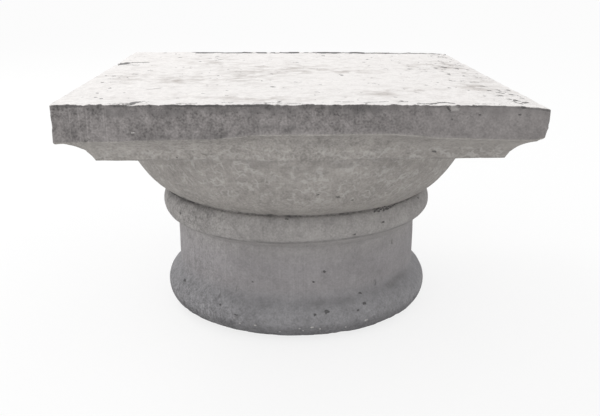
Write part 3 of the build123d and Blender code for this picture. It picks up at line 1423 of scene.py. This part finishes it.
        # Painted light: the light patches and the lit seam lip brighten the colour.
        strength = fine + 1.0 + wide + self.streaks(ground) + nodes.paint("painted_light") * 0.2
        squiggle = self.squiggles(ground)
        colour = nodes.tint(squiggle * self.squiggle_share, nodes.shaded(base, strength), self.lime)
        dirt_and_shade = nodes.paint("dirt_and_shade")
        # Painted shade: thin dark lines in the crease under the annulet, under the overhanging echinus at the
        # quirk, at the foot of the band and under the top arris.
        dirt_and_shade += level.line(self.annulet_shade_line, 3.4) * blotch.ramp(0.36, 0.6, 0.15, 0.6)
        dirt_and_shade += level.line(self.quirk_shade_line, 2.6) * mottle.ramp(0.42, 0.6, 0.0, 0.8)
        dirt_and_shade += level.line(self.band_shade_line, 1.4) * blotch.ramp(0.42, 0.58, 0.0, 0.4)
        dirt_and_shade += level.line(self.top_shade_line, 1.5) * blotch.ramp(0.45, 0.6, 0.1, 0.8)
        dirt_and_shade += nodes.paint("head") * grain.ramp(0.42, 0.62, 0.15, 1.0)
        rough = grit * (grain.swing(0.9) + mottle.swing(1.4))
        height = rough + squiggle * self.squiggle_height + dirt_and_shade * -self.dirt_and_shade_depth
        return nodes.tint(dirt_and_shade * self.dirt_and_shade_share, colour, self.dirt_and_shade), height

    def streaks(self, ground: Ground) -> Signal:
        """Return the light upright drips and the fine upright grain of the mould boards, about 0.

        Both are noises on the direction out from the axis, drawn out along the height.

        Args:
            ground: what they are drawn on.

        Returns:
            What is added to the colour's strength.
        """
        nodes = ground.nodes
        flat = nodes.vector("NORMALIZE", nodes.scaled(ground.place, (1.0, 1.0, 0.0)), (0.0, 0.0, 0.0))
        rising = nodes.scaled(ground.place, (0.0, 0.0, 5.0))
        grain, drips = (
            nodes.noise(nodes.vector("ADD", nodes.scaled(flat, (scale, scale, 0.0)), rising), 1.0)
            for scale in (84.0, 150.0)
        )
        streak = nodes.paint("streak")
        lit = drips.ramp(0.57, 0.68) * streak * 0.26
        return lit + grain.swing(0.2) * (ground.level.ramp(58.0, 76.0, 0.1, 0.7) + streak)

    def squiggles(self, ground: Ground) -> Signal:
        """Return the pale worm lines of the echinus, the borders of small warped cells in patches.

        Args:
            ground: what they are drawn on.

        Returns:
            The mask, 1 on the lines.
        """
        nodes, level = ground.nodes, ground.level
        waves = {"Vector": ground.place, "Scale": 110.0, "Detail": 1.0}
        warp = nodes.add("ShaderNodeTexNoise", waves, "Color")
        bent = nodes.vector("ADD", ground.place, nodes.scaled(warp, (0.016, 0.016, 0.016)))
        cells = {"Vector": bent, "Scale": 66.0}
        border = nodes.add("ShaderNodeTexVoronoi", cells, "Distance", feature="DISTANCE_TO_EDGE")
        patchy = nodes.noise(ground.place, 60.0, 3.0).ramp(0.42, 0.6)
        zone = level.ramp(205.0, 232.0) * level.ramp(290.0, 308.0, 1.0, 0.0)
        return border.ramp(0.02, 0.16, 1.0, 0.0) * patchy * zone

    def trowelled_top(self, ground: Ground) -> tuple[Signal, Signal]:
        """Return the finish of the top: pale paste, its near white partly painted sunlight, with beige
        stains, and small torn pits painted dark as their shade.

        Args:
            ground: what it is drawn on.

        Returns:
            The colour, and the height in millimetres.
        """
        nodes, grain, mottle = ground.nodes, ground.grain, ground.mottle
        cloud = nodes.noise(ground.place, 48.0, 4.0)
        pitted = nodes.paint("pitted")
        spread = nodes.paint("stain") * cloud.ramp(0.38, 0.62, 0.3, 1.0) + cloud.swing(1.2)
        colour = nodes.tint(spread, self.trowelled_and_sunlit, self.trowel_stain)
        colour = nodes.shaded(colour, grain.swing(0.3) + 1.0 + mottle.swing(0.3))
        flecks = nodes.noise(nodes.scaled(ground.place, (95.0, 75.0, 95.0)), 1.0, 4.0)
        shaded_pits = (flecks + pitted * 0.12).ramp(0.67, 0.73)
        rough = (grain.swing(0.8) + mottle.swing(2.2)) * pitted.ramp(0.0, 1.0, 1.0, 1.8)
        # Painted shade: the top's small sunk pits are darkened as their walls fall into shade.
        colour = nodes.tint(shaded_pits * self.pit_shade_share, colour, self.dirt_and_shade)
        return colour, rough - shaded_pits * self.pit_depth

    def outside(self, ground: Ground, skin: Skin, mark: Mark) -> Signal:
        """Return how far every point lies outside a mark.

        A hole is round, and stretched as the stone's air holes are. A crack is measured from the nearest
        point of its straight line: its start plus its direction times the distance run along it, which is
        kept between 0 and its length.

        Args:
            ground: what it is drawn on.
            skin: the finished surface, on which the mark lies.
            mark: the mark.

        Returns:
            Metres, below 0 inside the mark.
        """
        nodes, place = ground.nodes, ground.place
        start = skin.spot(mark.facing, *mark.start)
        if mark.end:
            step = np.subtract(skin.spot(mark.facing, *mark.end), start)
            length = float(np.linalg.norm(step))
            direction = tuple(float(v) for v in step / length)
            from_start = nodes.vector("SUBTRACT", place, start)
            passed = nodes.vector("DOT_PRODUCT", from_start, direction, "Value")
            kept = nodes.add("ShaderNodeClamp", {0: passed, 1: 0.0, 2: length})
            ahead = nodes.add("ShaderNodeVectorMath", {0: direction, "Scale": kept}, operation="SCALE")
            away = nodes.vector("DISTANCE", place, nodes.vector("ADD", ahead, start), "Value")
        else:
            middle = tuple(a * b for a, b in zip(start, self.mark_stretch))
            away = nodes.vector("DISTANCE", ground.stretched, middle, "Value")
        return away - mark.radius * METRES_PER_MM

    def marks(self, ground: Ground, skin: Skin, kind: MarkKind) -> Signal:
        """Return where the marks of one kind are, their outlines made ragged by noise.

        Args:
            ground: what they are drawn on.
            skin: the finished surface, on which the marks lie.
            kind: which marks.

        Returns:
            The mask, 1 in the marks and 0 outside them.
        """
        ragged = ground.nodes.noise(ground.place, 330.0).swing(0.006)
        chosen = [mark for mark in MARKS if mark.kind is kind]
        apart = (self.outside(ground, skin, mark) for mark in chosen)
        nearest = functools.reduce(functools.partial(ground.nodes.math, "MINIMUM"), apart)
        return (nearest + ragged).ramp(-self.mark_softness, self.mark_softness, 1.0, 0.0)

    def pores(self, ground: Ground) -> Signal:
        """Return the small scattered pores: a few cells of a Voronoi pattern, near their points.

        Args:
            ground: what they are drawn on.

        Returns:
            The mask, 1 in the pores.
        """
        nodes = ground.nodes
        cells = nodes.node("ShaderNodeTexVoronoi", {"Vector": ground.place, "Scale": 70.0}).outputs
        chosen = nodes.add("ShaderNodeSeparateColor", {0: Signal(nodes, cells["Color"])})
        limit = chosen.ramp(0.86, 1.0, 0.0, 0.1)
        return (limit - Signal(nodes, cells["Distance"])).ramp(0.0, 0.04)


@dataclass(frozen=True)
class Lamp:
    """A square soft lamp that faces a point.

    Attributes:
        name: its name.
        place: where it stands, in metres.
        size: the length of its side, in metres.
        power: its power in watts.
        aim: the point that it faces.
    """

    name: str
    place: Point
    size: float
    power: float
    aim: Point = (0.0, 0.0, 0.2)

    def build(self) -> bpy.types.Object:
        """Return the lamp's object.

        Returns:
            The object, linked to the scene.
        """
        light = bpy.data.lights.new(self.name, "AREA")
        light.size = self.size
        light.energy = self.power
        lamp = bpy.data.objects.new(self.name, light)
        away = np.subtract(self.place, self.aim)
        lamp.location = self.place
        turn = math.atan2(away[1], away[0]) + math.pi / 2
        lamp.rotation_euler = (math.acos(away[2] / np.linalg.norm(away)), 0.0, turn)
        bpy.context.scene.collection.objects.link(lamp)
        return lamp


@dataclass
class Studio:
    """The floor, the lamps, the world and the camera."""

    floor_half: float = 40.0
    floor_colour: Colour = (0.92, 0.92, 0.92)
    floor_glow: float = 0.8
    camera_place: Point = (-0.0337, -1.2140, 0.5165)
    camera_pitch: float = 0.3014
    camera_yaw: float = 0.0328
    camera_lens: float = 46.3
    camera_sensor: float = 36.0
    world_strength: float = 0.93
    lamps: tuple[Lamp, ...] = (
        Lamp("key_lamp", (-1.6, 1.5, 2.6), 1.2, 24.0),
        Lamp("fill_lamp", (-1.9, -2.2, 1.1), 1.6, 5.0),
    )

    def seen_white(self, nodes: Nodes) -> Signal:
        """Return 1 for the rays that look at the background, straight, in gloss or through glass.

        Args:
            nodes: the tree of the world or of a material.

        Returns:
            The mask.
        """
        rays = nodes.node("ShaderNodeLightPath").outputs
        names = ("Is Camera Ray", "Is Glossy Ray", "Is Transmission Ray")
        seen = (Signal(nodes, rays[name]) for name in names)
        return functools.reduce(functools.partial(nodes.math, "MAXIMUM"), seen)

    def build_floor(self) -> bpy.types.Object:
        """Return the pale floor, one flat face that shows nearly white and keeps the capital's shadow.

        Returns:
            The object, linked to the scene.
        """
        half = self.floor_half
        mesh = bpy.data.meshes.new("floor")
        corners = [(-half, -half, 0.0), (half, -half, 0.0), (half, half, 0.0), (-half, half, 0.0)]
        mesh.from_pydata(corners, [], [(0, 1, 2, 3)])
        floor = bpy.data.objects.new("floor", mesh)
        bpy.context.scene.collection.objects.link(floor)
        material = bpy.data.materials.new("floor_paint")
        material.use_nodes = True
        nodes = Nodes(material.node_tree)
        share = self.seen_white(nodes) * self.floor_glow
        matt = nodes.add("ShaderNodeBsdfDiffuse", {"Color": (*self.floor_colour, 1.0)})
        white = nodes.add("ShaderNodeEmission", {"Color": WHITE, "Strength": 1.0})
        mixed = nodes.add("ShaderNodeMixShader", {0: share, 1: matt, 2: white})
        nodes.node("ShaderNodeOutputMaterial", {"Surface": mixed})
        mesh.materials.append(material)
        return floor

    def build_world(self) -> bpy.types.World:
        """Return a world that lights evenly and shows as white.

        Returns:
            The world, set as the scene's.
        """
        world = bpy.data.worlds.new("studio_world")
        world.use_nodes = True
        nodes = Nodes(world.node_tree)
        light = nodes.add("ShaderNodeBackground", {"Color": WHITE, "Strength": self.world_strength})
        white = nodes.add("ShaderNodeBackground", {"Color": WHITE, "Strength": 1.0})
        mixed = nodes.add("ShaderNodeMixShader", {0: self.seen_white(nodes), 1: light, 2: white})
        nodes.node("ShaderNodeOutputWorld", {"Surface": mixed})
        bpy.context.scene.world = world
        return world

    def build_camera(self) -> bpy.types.Object:
        """Return the camera at the photograph's viewpoint.

        Returns:
            The object, set as the scene's camera.
        """
        camera = bpy.data.cameras.new("camera")
        camera.sensor_width = self.camera_sensor
        camera.sensor_fit = "HORIZONTAL"
        camera.lens = self.camera_lens
        camera_object = bpy.data.objects.new("camera", camera)
        camera_object.location = self.camera_place
        camera_object.rotation_euler = (math.pi / 2 - self.camera_pitch, 0.0, -self.camera_yaw)
        bpy.context.scene.collection.objects.link(camera_object)
        bpy.context.scene.camera = camera_object
        return camera_object

    def build(self) -> None:
        """Set up the whole studio."""
        self.build_floor()
        self.build_world()
        for lamp in self.lamps:
            lamp.build()
        self.build_camera()
        bpy.context.scene.view_settings.view_transform = "Standard"


def main() -> None:
    """Build the casting, dress it and set up the studio."""
    casting = Casting()
    skin = casting.skin()
    piece = casting.build(skin)
    piece.data.materials.append(CastStone().build(skin))
    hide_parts(CAD_NODE)
    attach(piece, "root")
    triangles = sum(len(face.vertices) - 2 for face in piece.data.polygons)
    log.info("%s: %d triangles", piece.name, triangles)
    Studio().build()
    log.info("studio: floor, world, lamps and camera")


if __name__ == "__main__":
    logging.basicConfig(level=logging.INFO, format="%(name)s: %(message)s")
    main()
